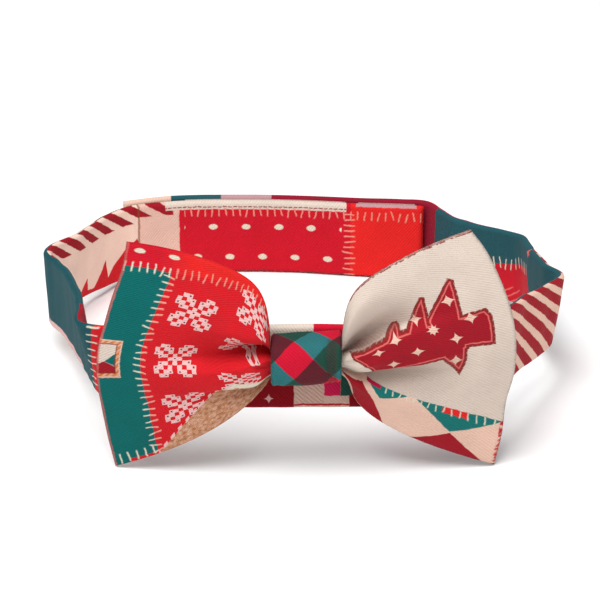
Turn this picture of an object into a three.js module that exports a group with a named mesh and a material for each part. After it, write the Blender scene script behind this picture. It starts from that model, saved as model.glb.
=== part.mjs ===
// Cloth pet bow tie on a collar strap, standing as a loop. Millimetres, +Z up, +Y to the back.
import * as THREE from "three";

// Strap
const STRAP_HEIGHT = 25;
const STRAP_THICK = 2.4;
const STRAP_FOLD = 0.9; // how far the folded edges round off
const STRAP_FLAT = 0.6; // share of the thickness that is flat along a folded edge
const STRAP_STEPS = 128;
const LENGTH_STEPS = 1600; // steps in which the route is measured

// Fastening tapes between the overlapping ends
const TAPE_THICK = 0.8;
const TAPE_LOW = 4.5;
const TAPE_HIGH = 24.4;
const TAPE_STEPS = 14;
const LOOP_TAPE = { from: 12.5, to: -38 };
const HOOK_TAPE = { from: 34.5, to: 16.5 };
const INNER_LAYER_END = 5; // row of the route where the inner back layer ends
const OUTER_LAYER_START = 32; // row where the outer one starts

// Bow
const BOW_THICK = 2.4;
const HEM_THIN = 0.75; // share of the thickness that is left at a hem
const HEM_SHARE = 0.125; // share of the half height over which a hem thins
const GATHER_THICK = 0.5; // added where the cloth is gathered
const WAIST_HALF = 9.7; // half the length inside the wrap
const WAIST_RISE = 38.2;
const WAIST_SPREAD = 5.0; // half the gathered height
const WAIST_DEPTH = -5.75;
const WAIST_ROLL = 0.06; // rise per millimetre to the right
const PLEAT_REACH = 0.8; // share of the wing over which a pleat fades out
const PLEAT_FADE = 1.4; // power of that fade
const RIGHT_SHOULDER = 4.6; // how far the upper hem bulges up beside the waist
const LEFT_SHOULDER = 5.0;
const SHOULDER_START = 0.35; // place across a wing where the bulge starts
const SHOULDER_PEAK = 0.2; // share of the wing at which it is highest
const SHOULDER_FADE = 4; // power of its fade towards the outer edge
const RIB_CELLS = 15;
const WAIST_CELLS = 2;
const ACROSS_CELLS = 30;

// Wrap round the gathered middle
const WRAP_WIDTH = 19.4;
const WRAP_THICK = 1.5;
const WRAP_HALF_DEPTH = 6.2;
const WRAP_HALF_RISE = 7.2;
const WRAP_CENTRE = { y: -4.3, z: 38.2 };
const WRAP_CROWN = 0.5;
const WRAP_EDGE = 0.35; // how far its edges round off
const WRAP_SHARES = [-1, -0.6, 0, 0.6, 1]; // places across its width
const WRAP_STEPS = 40;

// The tables start from the middle of the strap's front; this moves the part over its own middle.
const MIDDLE = { x: -1.27, y: 58.4 };

// Strap route, one row per bend: where its mid line stands, how high its lower edge is, and its lean
// in degrees, positive with the upper edge outward. It starts at the free end inside the back overlap.
const STRAP_ROUTE = [
  { at: "inner end", x: 37.0, y: 117.4, rise: 0, lean: 3 },
  { at: "inner overlap", x: 19.0, y: 119.2, rise: 0, lean: 2 },
  { at: "back middle", x: -3.0, y: 122.2, rise: 0, lean: 0 },
  { at: "back", x: -22.0, y: 122.8, rise: 0, lean: 0 },
  { at: "back left", x: -43.0, y: 121.6, rise: 0, lean: 0 },
  { at: "back left bend", x: -54.5, y: 117.5, rise: 0.6, lean: 0 },
  { at: "left behind", x: -61.5, y: 110.0, rise: 1.8, lean: -2 },
  { at: "left run", x: -67.0, y: 101.5, rise: 3.2, lean: -5 },
  { at: "left before corner", x: -71.8, y: 91.0, rise: 5.0, lean: -6 },
  { at: "left corner", x: -76.3, y: 74.0, rise: 7.8, lean: 2 },
  { at: "left side", x: -73.0, y: 63.5, rise: 9.5, lean: 2 },
  { at: "left dip", x: -69.8, y: 54.5, rise: 11.0, lean: 2 },
  { at: "left hollow", x: -65.0, y: 38.0, rise: 13.7, lean: 3.5 },
  { at: "left front", x: -60.4, y: 22.0, rise: 16.4, lean: 9 },
  { at: "front left corner", x: -58.4, y: 13.0, rise: 17.9, lean: 12 },
  { at: "front left", x: -53.0, y: 6.6, rise: 19.0, lean: 4 },
  { at: "front left run", x: -34.0, y: 2.6, rise: 19.6, lean: -5 },
  { at: "front middle", x: 0.0, y: 1.2, rise: 20.0, lean: -7 },
  { at: "front right run", x: 30.0, y: 3.2, rise: 19.5, lean: -6 },
  { at: "front right", x: 47.0, y: 9.5, rise: 18.4, lean: -2 },
  { at: "front right bend", x: 56.2, y: 21.0, rise: 16.5, lean: 3 },
  { at: "right side", x: 62.0, y: 33.5, rise: 14.5, lean: 4 },
  { at: "right flare", x: 67.2, y: 42.5, rise: 13.0, lean: 6 },
  { at: "right corner", x: 71.4, y: 51.5, rise: 11.5, lean: 8 },
  { at: "right back side", x: 71.6, y: 59.0, rise: 10.2, lean: -1 },
  { at: "right dip", x: 69.4, y: 68.5, rise: 8.7, lean: -1 },
  { at: "right run", x: 68.0, y: 78.5, rise: 7.0, lean: -2 },
  { at: "right bend", x: 66.8, y: 88.5, rise: 5.4, lean: -3 },
  { at: "right behind", x: 60.5, y: 97.0, rise: 4.0, lean: -6 },
  { at: "back right run", x: 51.8, y: 103.0, rise: 3.0, lean: -4 },
  { at: "back right dip", x: 46.6, y: 107.0, rise: 2.3, lean: -2 },
  { at: "back right bend", x: 41.8, y: 114.2, rise: 1.0, lean: 1 },
  { at: "outer overlap start", x: 37.4, y: 120.7, rise: 0.2, lean: 3 },
  { at: "outer overlap right", x: 30.0, y: 122.2, rise: 0, lean: 3 },
  { at: "outer overlap", x: 18.0, y: 123.3, rise: 0, lean: 2 },
  { at: "outer middle", x: -3.0, y: 126.0, rise: 0, lean: 0 },
  { at: "outer back", x: -22.0, y: 126.6, rise: 0, lean: 0 },
  { at: "outer back left", x: -43.0, y: 125.6, rise: 0, lean: 0 },
  { at: "outer end", x: -57.4, y: 121.8, rise: 0, lean: 0 },
];

// Outer edges of the wings, from the lower tip to the upper one.
const RIGHT_EDGE = [
  { at: "lower tip", x: 53.4, y: 2.6, z: 0.0 },
  { at: "lower edge", x: 55.2, y: 2.2, z: 10.2 },
  { at: "lower quarter", x: 56.0, y: 1.2, z: 21.0 },
  { at: "lower bulge", x: 57.9, y: 0.2, z: 31.0 },
  { at: "bulge", x: 58.1, y: 0.0, z: 41.2 },
  { at: "upper bulge", x: 56.6, y: 1.0, z: 50.2 },
  { at: "upper quarter", x: 53.6, y: 3.0, z: 58.5 },
  { at: "upper edge", x: 49.8, y: 5.4, z: 66.0 },
  { at: "upper tip", x: 45.1, y: 8.0, z: 71.9 },
];
const LEFT_EDGE = [
  { at: "lower tip", x: -54.0, y: 1.8, z: 0.0 },
  { at: "lower edge", x: -55.8, y: 1.5, z: 9.4 },
  { at: "lower quarter", x: -57.2, y: 1.0, z: 19.0 },
  { at: "lower bulge", x: -58.2, y: 0.3, z: 28.4 },
  { at: "bulge", x: -57.9, y: 0.0, z: 37.9 },
  { at: "upper bulge", x: -55.8, y: 0.8, z: 46.2 },
  { at: "upper quarter", x: -53.4, y: 2.0, z: 54.3 },
  { at: "upper edge", x: -50.6, y: 4.0, z: 61.8 },
  { at: "upper tip", x: -49.2, y: 6.0, z: 69.2 },
];

// Points that the ribs of a wing bend towards between the waist and the outer edge, from low to high.
const RIGHT_BEND = [
  { at: "lower hem", x: 11.0, y: -6.5, z: 18.0 },
  { at: "lower fold", x: 21.0, y: -8.5, z: 26.5 },
  { at: "middle", x: 27.0, y: -9.0, z: 40.5 },
  { at: "upper fold", x: 20.0, y: -8.5, z: 56.0 },
  { at: "upper hem", x: 12.0, y: -6.5, z: 67.5 },
];
const LEFT_BEND = [
  { at: "lower hem", x: -21.0, y: -6.5, z: 14.0 },
  { at: "lower fold", x: -23.0, y: -8.5, z: 27.0 },
  { at: "middle", x: -27.0, y: -9.0, z: 41.0 },
  { at: "upper fold", x: -19.0, y: -8.5, z: 56.5 },
  { at: "upper hem", x: -11.0, y: -6.5, z: 71.0 },
];

// Pleats at the waist, from the lower hem (-1) to the upper hem (1); positive stands forward.
const RIGHT_PLEATS = [
  { across: -1.0, forward: 0.2 },
  { across: -0.7, forward: 2.1 },
  { across: -0.36, forward: -2.1 },
  { across: 0.02, forward: 2.2 },
  { across: 0.38, forward: -2.1 },
  { across: 0.72, forward: 2.1 },
  { across: 1.0, forward: -0.2 },
];
const LEFT_PLEATS = [
  { across: -1.0, forward: 0.2 },
  { across: -0.64, forward: 2.1 },
  { across: -0.32, forward: -2.0 },
  { across: -0.04, forward: 2.0 },
  { across: 0.26, forward: -2.1 },
  { across: 0.66, forward: 2.1 },
  { across: 1.0, forward: -0.2 },
];

const UP = new THREE.Vector3(0, 0, 1);

function curveThrough(rows, pick) {
  return new THREE.CatmullRomCurve3(rows.map(pick), false, "centripetal");
}

function evenCurve(rows) {
  const points = rows.map((row) => new THREE.Vector3(row.x, row.y, row.z));
  return new THREE.CatmullRomCurve3(points, false, "catmullrom", 0.5);
}

// Closed solid through sections that have the same even number of points; the first half of a section faces
// the second half, so the ends close with a row of quads.
function loft(sections, ring) {
  const count = sections[0].length;
  const positions = [];
  const index = [];
  sections.forEach((section) => section.forEach((point) => positions.push(point.x, point.y, point.z)));
  const last = ring ? sections.length : sections.length - 1;
  for (let i = 0; i < last; i += 1) {
    const a = i * count;
    const b = ((i + 1) % sections.length) * count;
    for (let j = 0; j < count; j += 1) {
      const k = (j + 1) % count;
      index.push(a + j, b + j, b + k);
      index.push(a + j, b + k, a + k);
    }
  }
  if (!ring) {
    const end = (sections.length - 1) * count;
    for (let j = 0; j < count / 2 - 1; j += 1) {
      const across = count - 1 - j;
      index.push(j, j + 1, across - 1);
      index.push(j, across - 1, across);
      index.push(end + j, end + across - 1, end + j + 1);
      index.push(end + j, end + across, end + across - 1);
    }
  }
  const geometry = new THREE.BufferGeometry();
  geometry.setAttribute("position", new THREE.Float32BufferAttribute(positions, 3));
  geometry.setIndex(index);
  geometry.computeVertexNormals();
  return geometry;
}

const strapLine = curveThrough(STRAP_ROUTE, (row) => new THREE.Vector3(row.x, row.y, row.rise));
const leanLine = curveThrough(STRAP_ROUTE, (row) => new THREE.Vector3(row.x, row.y, row.lean));

// Where the strap stands at a share u of its route, with its outward and upward directions there.
function strapFrame(u) {
  const foot = strapLine.getPoint(u);
  foot.z = Math.max(0, foot.z);
  const ahead = strapLine.getTangent(u).setZ(0).normalize();
  const outward = new THREE.Vector3(ahead.y, -ahead.x, 0);
  const lean = THREE.MathUtils.degToRad(leanLine.getPoint(u).z);
  const upward = UP.clone().multiplyScalar(Math.cos(lean)).addScaledVector(outward, Math.sin(lean));
  return { foot, outward, upward };
}

function stripSection(frame, outline) {
  return outline.map(([out, up]) =>
    frame.foot.clone().addScaledVector(frame.outward, out).addScaledVector(frame.upward, up));
}

function strapOutline() {
  const half = STRAP_THICK / 2;
  const flat = half * STRAP_FLAT;
  const side = [
    [flat, 0],
    [half, STRAP_FOLD],
    [half, STRAP_HEIGHT - STRAP_FOLD],
    [flat, STRAP_HEIGHT],
  ];
  return side.concat(side.slice().reverse().map(([out, up]) => [-out, up]));
}

function strapGeometry() {
  const sections = [];
  const lengths = strapLine.getLengths(LENGTH_STEPS);
  const total = lengths[LENGTH_STEPS];
  let at = 0;
  for (let i = 0; i <= STRAP_STEPS; i += 1) {
    const goal = (total * i) / STRAP_STEPS;
    while (at < LENGTH_STEPS && lengths[at] < goal) at += 1;
    sections.push(stripSection(strapFrame(at / LENGTH_STEPS), strapOutline()));
  }
  return loft(sections, false);
}

// Share of the route at which one of the two back layers passes a given x.
function layerShare(x, from, to) {
  let near = from;
  let far = to;
  for (let i = 0; i < 40; i += 1) {
    const middle = (near + far) / 2;
    if (strapLine.getPoint(middle).x > x) near = middle;
    else far = middle;
  }
  return (near + far) / 2;
}

function tapeGeometry(tape) {
  const half = TAPE_THICK / 2;
  const outline = [[half, TAPE_LOW], [half, TAPE_HIGH], [-half, TAPE_HIGH], [-half, TAPE_LOW]];
  const rows = STRAP_ROUTE.length - 1;
  const sections = [];
  for (let i = 0; i <= TAPE_STEPS; i += 1) {
    const x = tape.from + ((tape.to - tape.from) * i) / TAPE_STEPS;
    const inner = strapFrame(layerShare(x, 0, INNER_LAYER_END / rows));
    const outer = strapFrame(layerShare(x, OUTER_LAYER_START / rows, 1));
    const foot = inner.foot.clone().lerp(outer.foot, 0.5);
    const outward = inner.outward.clone().lerp(outer.outward, 0.5).normalize();
    const upward = inner.upward.clone().lerp(outer.upward, 0.5).normalize();
    sections.push(stripSection({ foot, outward, upward }, outline));
  }
  return loft(sections, false);
}

// How far the cloth stands forward at the waist, easing from one pleat row to the next.
function pleatForward(rows, across) {
  for (let i = 1; i < rows.length; i += 1) {
    const a = rows[i - 1];
    const b = rows[i];
    if (across <= b.across) {
      const ease = (1 - Math.cos((Math.PI * (across - a.across)) / (b.across - a.across))) / 2;
      return a.forward + (b.forward - a.forward) * ease;
    }
  }
  return rows[rows.length - 1].forward;
}

function waistPoint(side, across) {
  const x = side * WAIST_HALF;
  return new THREE.Vector3(x, WAIST_DEPTH, WAIST_RISE + x * WAIST_ROLL + across * WAIST_SPREAD);
}

// Share of a shoulder's bulge at a place on a wing.
function shoulderShare(out, across) {
  const up = THREE.MathUtils.smoothstep(across, SHOULDER_START, 1);
  const fade = Math.pow((1 - out) / (1 - SHOULDER_PEAK), SHOULDER_FADE);
  return (up * fade * out) / SHOULDER_PEAK;
}

function wing(side, edgeRows, bendRows, pleats, shoulder) {
  const edge = evenCurve(edgeRows);
  const bend = evenCurve(bendRows);
  return (out, across) => {
    const share = (across + 1) / 2;
    const waist = waistPoint(side, across);
    const rib = new THREE.QuadraticBezierCurve3(waist, bend.getPoint(share), edge.getPoint(share));
    const front = rib.getPoint(out);
    const hold = Math.pow(Math.max(0, 1 - out / PLEAT_REACH), PLEAT_FADE);
    front.y -= pleatForward(pleats, across) * hold;
    front.z += shoulder * shoulderShare(out, across);
    const fromHem = Math.min(1, (1 - Math.abs(across)) / HEM_SHARE);
    const thick = BOW_THICK * (HEM_THIN + (1 - HEM_THIN) * fromHem) + GATHER_THICK * hold;
    return { front, thick };
  };
}

const rightWing = wing(1, RIGHT_EDGE, RIGHT_BEND, RIGHT_PLEATS, RIGHT_SHOULDER);
const leftWing = wing(-1, LEFT_EDGE, LEFT_BEND, LEFT_PLEATS, LEFT_SHOULDER);

// One place on the bow: run goes from -1 at the left edge to 1 at the right edge, with the waist between.
function bowPlace(cell, across) {
  if (cell <= RIB_CELLS) return leftWing(1 - cell / RIB_CELLS, across);
  const past = cell - RIB_CELLS - WAIST_CELLS;
  if (past >= 0) return rightWing(past / RIB_CELLS, across);
  const share = (cell - RIB_CELLS) / WAIST_CELLS;
  const left = leftWing(0, across);
  const right = rightWing(0, across);
  const thick = left.thick + (right.thick - left.thick) * share;
  return { front: left.front.lerp(right.front, share), thick };
}

function bowGeometry() {
  const sections = [];
  const cells = 2 * RIB_CELLS + WAIST_CELLS;
  for (let cell = 0; cell <= cells; cell += 1) {
    const front = [];
    const back = [];
    for (let j = 0; j <= ACROSS_CELLS; j += 1) {
      const place = bowPlace(cell, (2 * j) / ACROSS_CELLS - 1);
      front.push(place.front);
      back.push(place.front.clone().setY(place.front.y + place.thick));
    }
    sections.push(front.concat(back.reverse()));
  }
  return loft(sections, false);
}

// A point of a rounded loop in the YZ plane.
function loopPoint(angle, halfDepth, halfRise) {
  const c = Math.cos(angle);
  const s = Math.sin(angle);
  const reach = Math.pow(Math.pow(Math.abs(c), 3) + Math.pow(Math.abs(s), 3), -1 / 3);
  return { y: c * reach * halfDepth, z: s * reach * halfRise };
}

function wrapGeometry() {
  const sections = [];
  for (let i = 0; i < WRAP_STEPS; i += 1) {
    const angle = (2 * Math.PI * i) / WRAP_STEPS;
    const ahead = Math.max(0, -Math.cos(angle));
    const place = (share, inset) => {
      const edge = Math.abs(share) === 1 ? WRAP_EDGE : 0;
      const crown = WRAP_CROWN * ahead * (1 - share * share);
      const grow = inset ? -WRAP_THICK + edge : crown - edge;
      const loop = loopPoint(angle, WRAP_HALF_DEPTH + grow, WRAP_HALF_RISE + grow);
      const x = (share * WRAP_WIDTH) / 2;
      return new THREE.Vector3(x, WRAP_CENTRE.y + loop.y, WRAP_CENTRE.z + x * WAIST_ROLL + loop.z);
    };
    const outside = WRAP_SHARES.map((share) => place(share, false));
    const inside = WRAP_SHARES.slice().reverse().map((share) => place(share, true));
    sections.push(outside.concat(inside));
  }
  return loft(sections, true);
}

function addNode(group, name, geometry, color) {
  const material = new THREE.MeshStandardMaterial({ color, roughness: 0.85 });
  const mesh = new THREE.Mesh(geometry, material);
  mesh.name = name;
  geometry.translate(-MIDDLE.x, -MIDDLE.y, 0);
  group.add(mesh);
}

const group = new THREE.Group();
addNode(group, "collar_strap", strapGeometry(), 0xb01c2a);
addNode(group, "loop_tape", tapeGeometry(LOOP_TAPE), 0xe6d3c0);
addNode(group, "hook_tape", tapeGeometry(HOOK_TAPE), 0xb9a4ac);
addNode(group, "bow", bowGeometry(), 0xc9303a);
addNode(group, "knot_wrap", wrapGeometry(), 0x8e1f2c);

export default group;
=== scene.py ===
import bisect
import math

import bmesh
import bpy
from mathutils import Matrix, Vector, noise


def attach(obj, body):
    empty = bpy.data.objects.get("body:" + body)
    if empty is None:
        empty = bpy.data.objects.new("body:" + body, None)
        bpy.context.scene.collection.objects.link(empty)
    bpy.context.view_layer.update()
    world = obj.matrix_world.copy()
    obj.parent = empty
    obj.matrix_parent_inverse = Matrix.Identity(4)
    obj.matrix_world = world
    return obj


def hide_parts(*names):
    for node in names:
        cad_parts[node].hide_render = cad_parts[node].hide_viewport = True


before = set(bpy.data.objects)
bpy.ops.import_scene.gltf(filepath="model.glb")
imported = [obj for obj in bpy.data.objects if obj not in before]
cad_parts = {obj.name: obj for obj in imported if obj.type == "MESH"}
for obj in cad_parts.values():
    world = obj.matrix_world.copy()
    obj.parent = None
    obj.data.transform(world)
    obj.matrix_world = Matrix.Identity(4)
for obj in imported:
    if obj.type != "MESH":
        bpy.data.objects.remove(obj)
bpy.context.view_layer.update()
scene = bpy.context.scene
scene.view_settings.view_transform = "Standard"  # keeps the dyes as mixed
print("frame loaded")

loopMiddle = Vector((-1.27, 58.4, 0))  # tables are in millimetres from the middle of the front
millimetre = 0.001
weldGap = 2e-6  # metres


def toPart(point):
    return (point - loopMiddle) * millimetre


def ease(share):  # slow start and end
    share = min(1.0, max(0.0, share))
    return share * share * (3 - 2 * share)


def roundOff(distance, radius):  # 0 at an edge, 1 from the radius inward
    share = min(1.0, max(0.0, distance / radius))
    return math.sqrt(1 - (1 - share) ** 2)


def swellAt(share, peak):  # 0 at both ends, 1 at the peak
    return (share / peak) * ((1 - share) / (1 - peak)) ** ((1 - peak) / peak)


def smoothThrough(points, share, even=False):  # curve through the rows of a table
    last = len(points) - 1
    i = min(int(share * last), last - 1)
    w = share * last - i
    b, c = points[i], points[i + 1]
    a = points[i - 1] if i else 2 * b - c
    d = points[i + 2] if i + 2 <= last else 2 * c - b
    if even:
        start, end = (c - a) / 2, (d - b) / 2
    else:
        ab, bc, cd = (max((q - p).length, 1e-6) ** 0.5 for p, q in ((a, b), (b, c), (c, d)))
        start = ((b - a) / ab - (c - a) / (ab + bc) + (c - b) / bc) * bc
        end = ((c - b) / bc - (d - b) / (bc + cd) + (d - c) / cd) * bc
    square = 3 * (c - b) - 2 * start - end
    cube = 2 * (b - c) + start + end
    return b + start * w + square * w * w + cube * w ** 3


def between(rows, at):  # straight steps through (place, value) rows
    for (p, a), (q, b) in zip(rows, rows[1:]):
        if at <= q:
            return a + (b - a) * max(0.0, (at - p) / (q - p))
    return rows[-1][1]


def newSheet(cells):  # a grid from -1 to 1, and the layer that keeps each point's place on the flat cloth
    cloth = bmesh.new()
    layer = cloth.verts.layers.float_vector.new("cut")
    bmesh.ops.create_grid(cloth, x_segments=cells[0], y_segments=cells[1], size=1.0)
    return cloth, layer


def finishPiece(name, cloth, materials, node):
    bmesh.ops.remove_doubles(cloth, verts=cloth.verts, dist=weldGap)
    bmesh.ops.recalc_face_normals(cloth, faces=cloth.faces)
    for face in cloth.faces:
        face.smooth = True
    mesh = bpy.data.meshes.new(name)
    cloth.to_mesh(mesh)
    cloth.free()
    for material in materials:
        mesh.materials.append(material)
    piece = bpy.data.objects.new(name, mesh)
    scene.collection.objects.link(piece)
    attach(piece, "root")
    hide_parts(node)
    print(name, len(mesh.polygons), "faces")
    return piece


class Wire:  # a socket of a material that can stand in a sum
    def __init__(self, tree, socket=None):
        self.tree = tree
        self.socket = socket

    def node(self, kind, settings=None, sockets=None, out=0):
        made = self.tree.nodes.new(kind)
        for name, value in (settings or {}).items():
            if name == "stops":
                ramp = made.color_ramp
                while len(ramp.elements) < len(value):
                    ramp.elements.new(1.0)
                for stop, (place, tone) in zip(ramp.elements, value):
                    stop.position = place
                    stop.color = tone
            else:
                setattr(made, name, value)
        for name, value in (sockets or {}).items():
            if isinstance(value, Wire):
                self.tree.links.new(value.socket, made.inputs[name])
            else:
                made.inputs[name].default_value = dyes[value] if isinstance(value, str) else value
        return Wire(self.tree, made.outputs[out] if made.outputs else None)

    def also(self, out):  # another output of the same node
        return Wire(self.tree, self.socket.node.outputs[out])

    def maths(self, operation, *values, clamp=False):
        settings = {"operation": operation, "use_clamp": clamp}
        return self.node("ShaderNodeMath", settings, dict(enumerate((self,) + values)))

    def __add__(self, other):
        return self.maths("ADD", other)

    __radd__ = __add__

    def __sub__(self, other):
        return self.maths("SUBTRACT", other)

    def __rsub__(self, other):
        return self.node("ShaderNodeMath", {"operation": "SUBTRACT"}, {0: other, 1: self})

    def __mul__(self, other):
        return self.maths("MULTIPLY", other)

    def __truediv__(self, other):
        return self.maths("DIVIDE", other)

    def __abs__(self):
        return self.maths("ABSOLUTE")

    def below(self, edge, soft=0.25):  # 1 under the edge, fading over a short width
        if isinstance(edge, Wire):
            return (self - edge).below(0.0, soft)
        return self.maths("MULTIPLY_ADD", -1 / soft, edge / soft + 0.5, clamp=True)

    def above(self, edge, soft=0.25):
        if isinstance(edge, Wire):
            return (self - edge).above(0.0, soft)
        return self.maths("MULTIPLY_ADD", 1 / soft, 0.5 - edge / soft, clamp=True)

    def within(self, low, high, soft=0.25):
        return abs(self - (low + high) / 2).below((high - low) / 2, soft)

    def most(self, other):
        return self.maths("MAXIMUM", other)

    def least(self, other):
        return self.maths("MINIMUM", other)

    def choose(self, under, over):  # this mask shows the second dye over the first
        return self.node("ShaderNodeMix", {"data_type": "RGBA"}, {0: self, 6: under, 7: over}, out=2)

    def cover(self, mask, over):  # lay a dye over this one
        self.socket = mask.choose(self, over).socket


def dye(red, green, blue):  # a screen colour as light
    parts = [c / 255 for c in (red, green, blue)]
    parts = [c / 12.92 if c <= 0.04045 else ((c + 0.055) / 1.055) ** 2.4 for c in parts]
    return (*parts, 1.0)


dyes = {
    "teal": dye(5, 104, 101),
    "printTeal": dye(22, 118, 114),
    "darkTeal": dye(38, 88, 96),
    "red": dye(214, 28, 38),
    "brightRed": dye(232, 38, 36),
    "flapRed": dye(208, 22, 42),
    "darkRed": dye(164, 24, 38),
    "deepRed": dye(126, 2, 16),
    "maroon": dye(94, 30, 40),
    "darkGreen": dye(32, 74, 62),
    "cream": dye(224, 207, 193),
    "warmCream": dye(232, 190, 174),
    "peach": dye(238, 198, 178),
    "palePink": dye(238, 190, 186),
    "pink": dye(228, 112, 106),
    "rose": dye(244, 150, 132),
    "rust": dye(138, 44, 40),
    "wine": dye(150, 24, 48),
    # a lighter copy of peach for the inner wall: painted light against its shade
    "innerPeach": dye(255, 222, 204),
    "knotTeal": dye(46, 114, 118),
    "wallTeal": dye(22, 80, 88),
    # a darker copy of cream for the strap under the knot: painted shade
    "duskCream": dye(200, 166, 152),
    "shade": dye(66, 50, 46),
    "knotRed": dye(208, 18, 50),
    "lilac": dye(193, 150, 155),
    "tan": dye(198, 142, 106),
    # painted shade for the folds of the right wing
    "fold": dye(126, 84, 74),
    "brown": dye(140, 74, 44),
    "orange": dye(214, 128, 70),
    "speck": dye(92, 40, 52),
    "thread": dye(228, 220, 198),
    "magenta": dye(196, 22, 74),
}

# What all the cloths share
shared = {
    "threadRelief": 0.9, "yarnRelief": 0.35,
    "washTone": 0.24, "evenTone": 0.88,
    "rough": 0.66, "roughSpread": 0.25,
}


def clouds(cut, scale, detail, roughness=0.5, out=0):  # noise that stays on the cloth
    sockets = {"Vector": cut, "Scale": scale, "Detail": detail, "Roughness": roughness}
    return cut.node("ShaderNodeTexNoise", None, sockets, out)


def nearestOf(gaps):
    near = gaps[0]
    for gap in gaps[1:]:
        near = near.least(gap)
    return near


def bands(run, pitch, low, high, soft):  # stripes over part of each repeat
    return (run / pitch).maths("FRACT").within(low, high, soft)


def dashes(run, pitch, share, soft):
    return (run / pitch).maths("FRACT").below(share, soft)


def dyeBlocks(along, blocks):  # patches in a row, each from its start to the next one's
    colour = blocks[0][1]
    for start, tone in blocks[1:]:
        colour = along.above(start).choose(colour, tone)
    return colour


def layScraps(colour, along, across, rows):  # small patches: place along, place up, dye
    for run, band, tone in rows:
        colour.cover(across.within(*band) * along.within(*run), tone)


def stitchRow(along, across, pitch, length, thread=0.5, lean=0.35, uneven=0.25):  # threads over a border
    chance = along.node("ShaderNodeTexWhiteNoise", {"noise_dimensions": "1D"},
                        {"W": (along / pitch).maths("FLOOR")})
    slant = along + across * ((chance - 0.5) * lean)
    side = abs((slant / pitch).maths("FRACT") - 0.5) * pitch
    reach = abs(across + (chance - 0.5) * (length * uneven))
    return side.below(thread / 2, soft=0.28) * reach.below(length / 2, soft=0.5)


def dotRows(along, across, pitch, rise, wide, high):  # staggered oval dots
    row = (across / rise).maths("FLOOR")
    shift = (row * 0.5).maths("FRACT")
    side = ((along / pitch + shift).maths("FRACT") - 0.5) * (2 * pitch / wide)
    up = ((across / rise).maths("FRACT") - 0.5) * (2 * rise / high)
    return (side * side + up * up).maths("SQRT").below(1.0, soft=0.3)


def plate(along, across, corners):  # distance outside a patch whose corners run counter-clockwise
    far = None
    for (a, b), (c, d) in zip(corners, corners[1:] + corners[:1]):
        length = math.hypot(c - a, d - b)
        right, up = (d - b) / length, (a - c) / length
        rest = across.maths("MULTIPLY_ADD", up, -right * a - up * b)
        edge = along.maths("MULTIPLY_ADD", right, rest)
        far = edge if far is None else far.most(edge)
    return far


def sparkles(along, across, places, reach, power=0.6):  # four-pointed stars
    near = nearestOf([abs(along - right).maths("POWER", power) + abs(across - up).maths("POWER", power)
                      for right, up in places])
    return near.below(reach ** power, soft=0.16)


def knitStars(along, across, cell, pitch, rise, blur=0.1):  # eight-petalled stars of square stitches
    side = ((along / pitch).maths("FRACT") - 0.5) * (pitch / cell)
    up = ((across / rise).maths("FRACT") - 0.5) * (rise / cell)
    column = (side + 0.5).maths("FLOOR")
    row = (up + 0.5).maths("FLOOR")
    a, b = abs(column), abs(row)
    big, small = a.most(b), a.least(b)
    step = big - small
    petals = small.above(0.5, blur) * step.above(0.5, blur)  # whole stitches, so borders lie at halves
    petals = petals * step.below(2.5, blur) * big.below(4.5, blur)
    heart = (a + b).below(1.5, blur)
    spot = abs(side - column).most(abs(up - row)).below(0.18, soft=0.12)
    spot = spot * ((a + b) * 0.5).maths("FRACT").below(0.25, blur)
    return petals.most(heart), spot


def clothMaterial(name, pattern, weave):
    material = bpy.data.materials.new(name)
    material.use_nodes = True
    tree = material.node_tree
    tree.nodes.clear()
    cut = Wire(tree).node("ShaderNodeAttribute", {"attribute_name": "cut"}, out="Vector")
    wander = clouds(cut, scale=0.5, detail=3.0, out=1)
    spread = (weave["wander"],) * 3
    moved = cut.node("ShaderNodeVectorMath", {"operation": "MULTIPLY_ADD"},
                     {0: wander, 1: spread, 2: cut})
    along = cut.node("ShaderNodeSeparateXYZ", None, {0: moved})
    colour, relief = pattern(along, along.also(1), cut)
    plainAlong = cut.node("ShaderNodeSeparateXYZ", None, {0: cut})
    turn = math.radians(weave["lean"])
    wave = 2 * math.pi / weave["pitch"]
    ridge = plainAlong * (math.cos(turn) * wave) + plainAlong.also(1) * (math.sin(turn) * wave)
    yarn = clouds(cut, scale=1.7, detail=4.0)
    twill = ridge.maths("SINE") * 0.5 + yarn
    wash = clouds(cut, scale=0.09, detail=3.0)
    even = shared["evenTone"] - weave["twillTone"]
    # weave depth scales down all dyes of a piece against the bright lamps that whiten the floor: painted
    # shade, strongest on the bow
    tone = (twill * weave["twillTone"] + wash * shared["washTone"] + even) * weave["depth"]
    toned = colour.node("ShaderNodeMix", {"data_type": "RGBA", "blend_type": "MULTIPLY"},
                        {0: 1.0, 6: colour, 7: tone}, out=2)
    height = twill * weave["twillRelief"] + yarn * shared["yarnRelief"] + relief
    bump = cut.node("ShaderNodeBump", None, {"Strength": 0.7, "Distance": 0.00022, "Height": height})
    rough = yarn * shared["roughSpread"] + shared["rough"]
    links = {"Base Color": toned, "Roughness": rough, "Normal": bump, "Sheen Weight": weave["sheen"],
             "Sheen Roughness": 0.4, "Specular IOR Level": 0.1}
    shader = cut.node("ShaderNodeBsdfPrincipled", None, links)
    cut.node("ShaderNodeOutputMaterial", None, {"Surface": shader})
    print(name, len(tree.nodes), "nodes")
    return material


# Camera, light and floor
studio = {
    "elevation": 28.0,
    "lens": 180.0,
    "camera": Vector((-1.7, -726.4, 440.8)),
    "aim": Vector((0, 0, 0.03)),
    "keyPlace": (-0.25, -0.5, 1.3), "keyPower": 21.0, "keySize": 0.8,
    "fillPlace": (0.7, -0.9, 0.5), "fillPower": 3.0, "fillSize": 1.0,
    "sky": 0.36,
    "floorRise": -0.0003,
}


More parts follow.
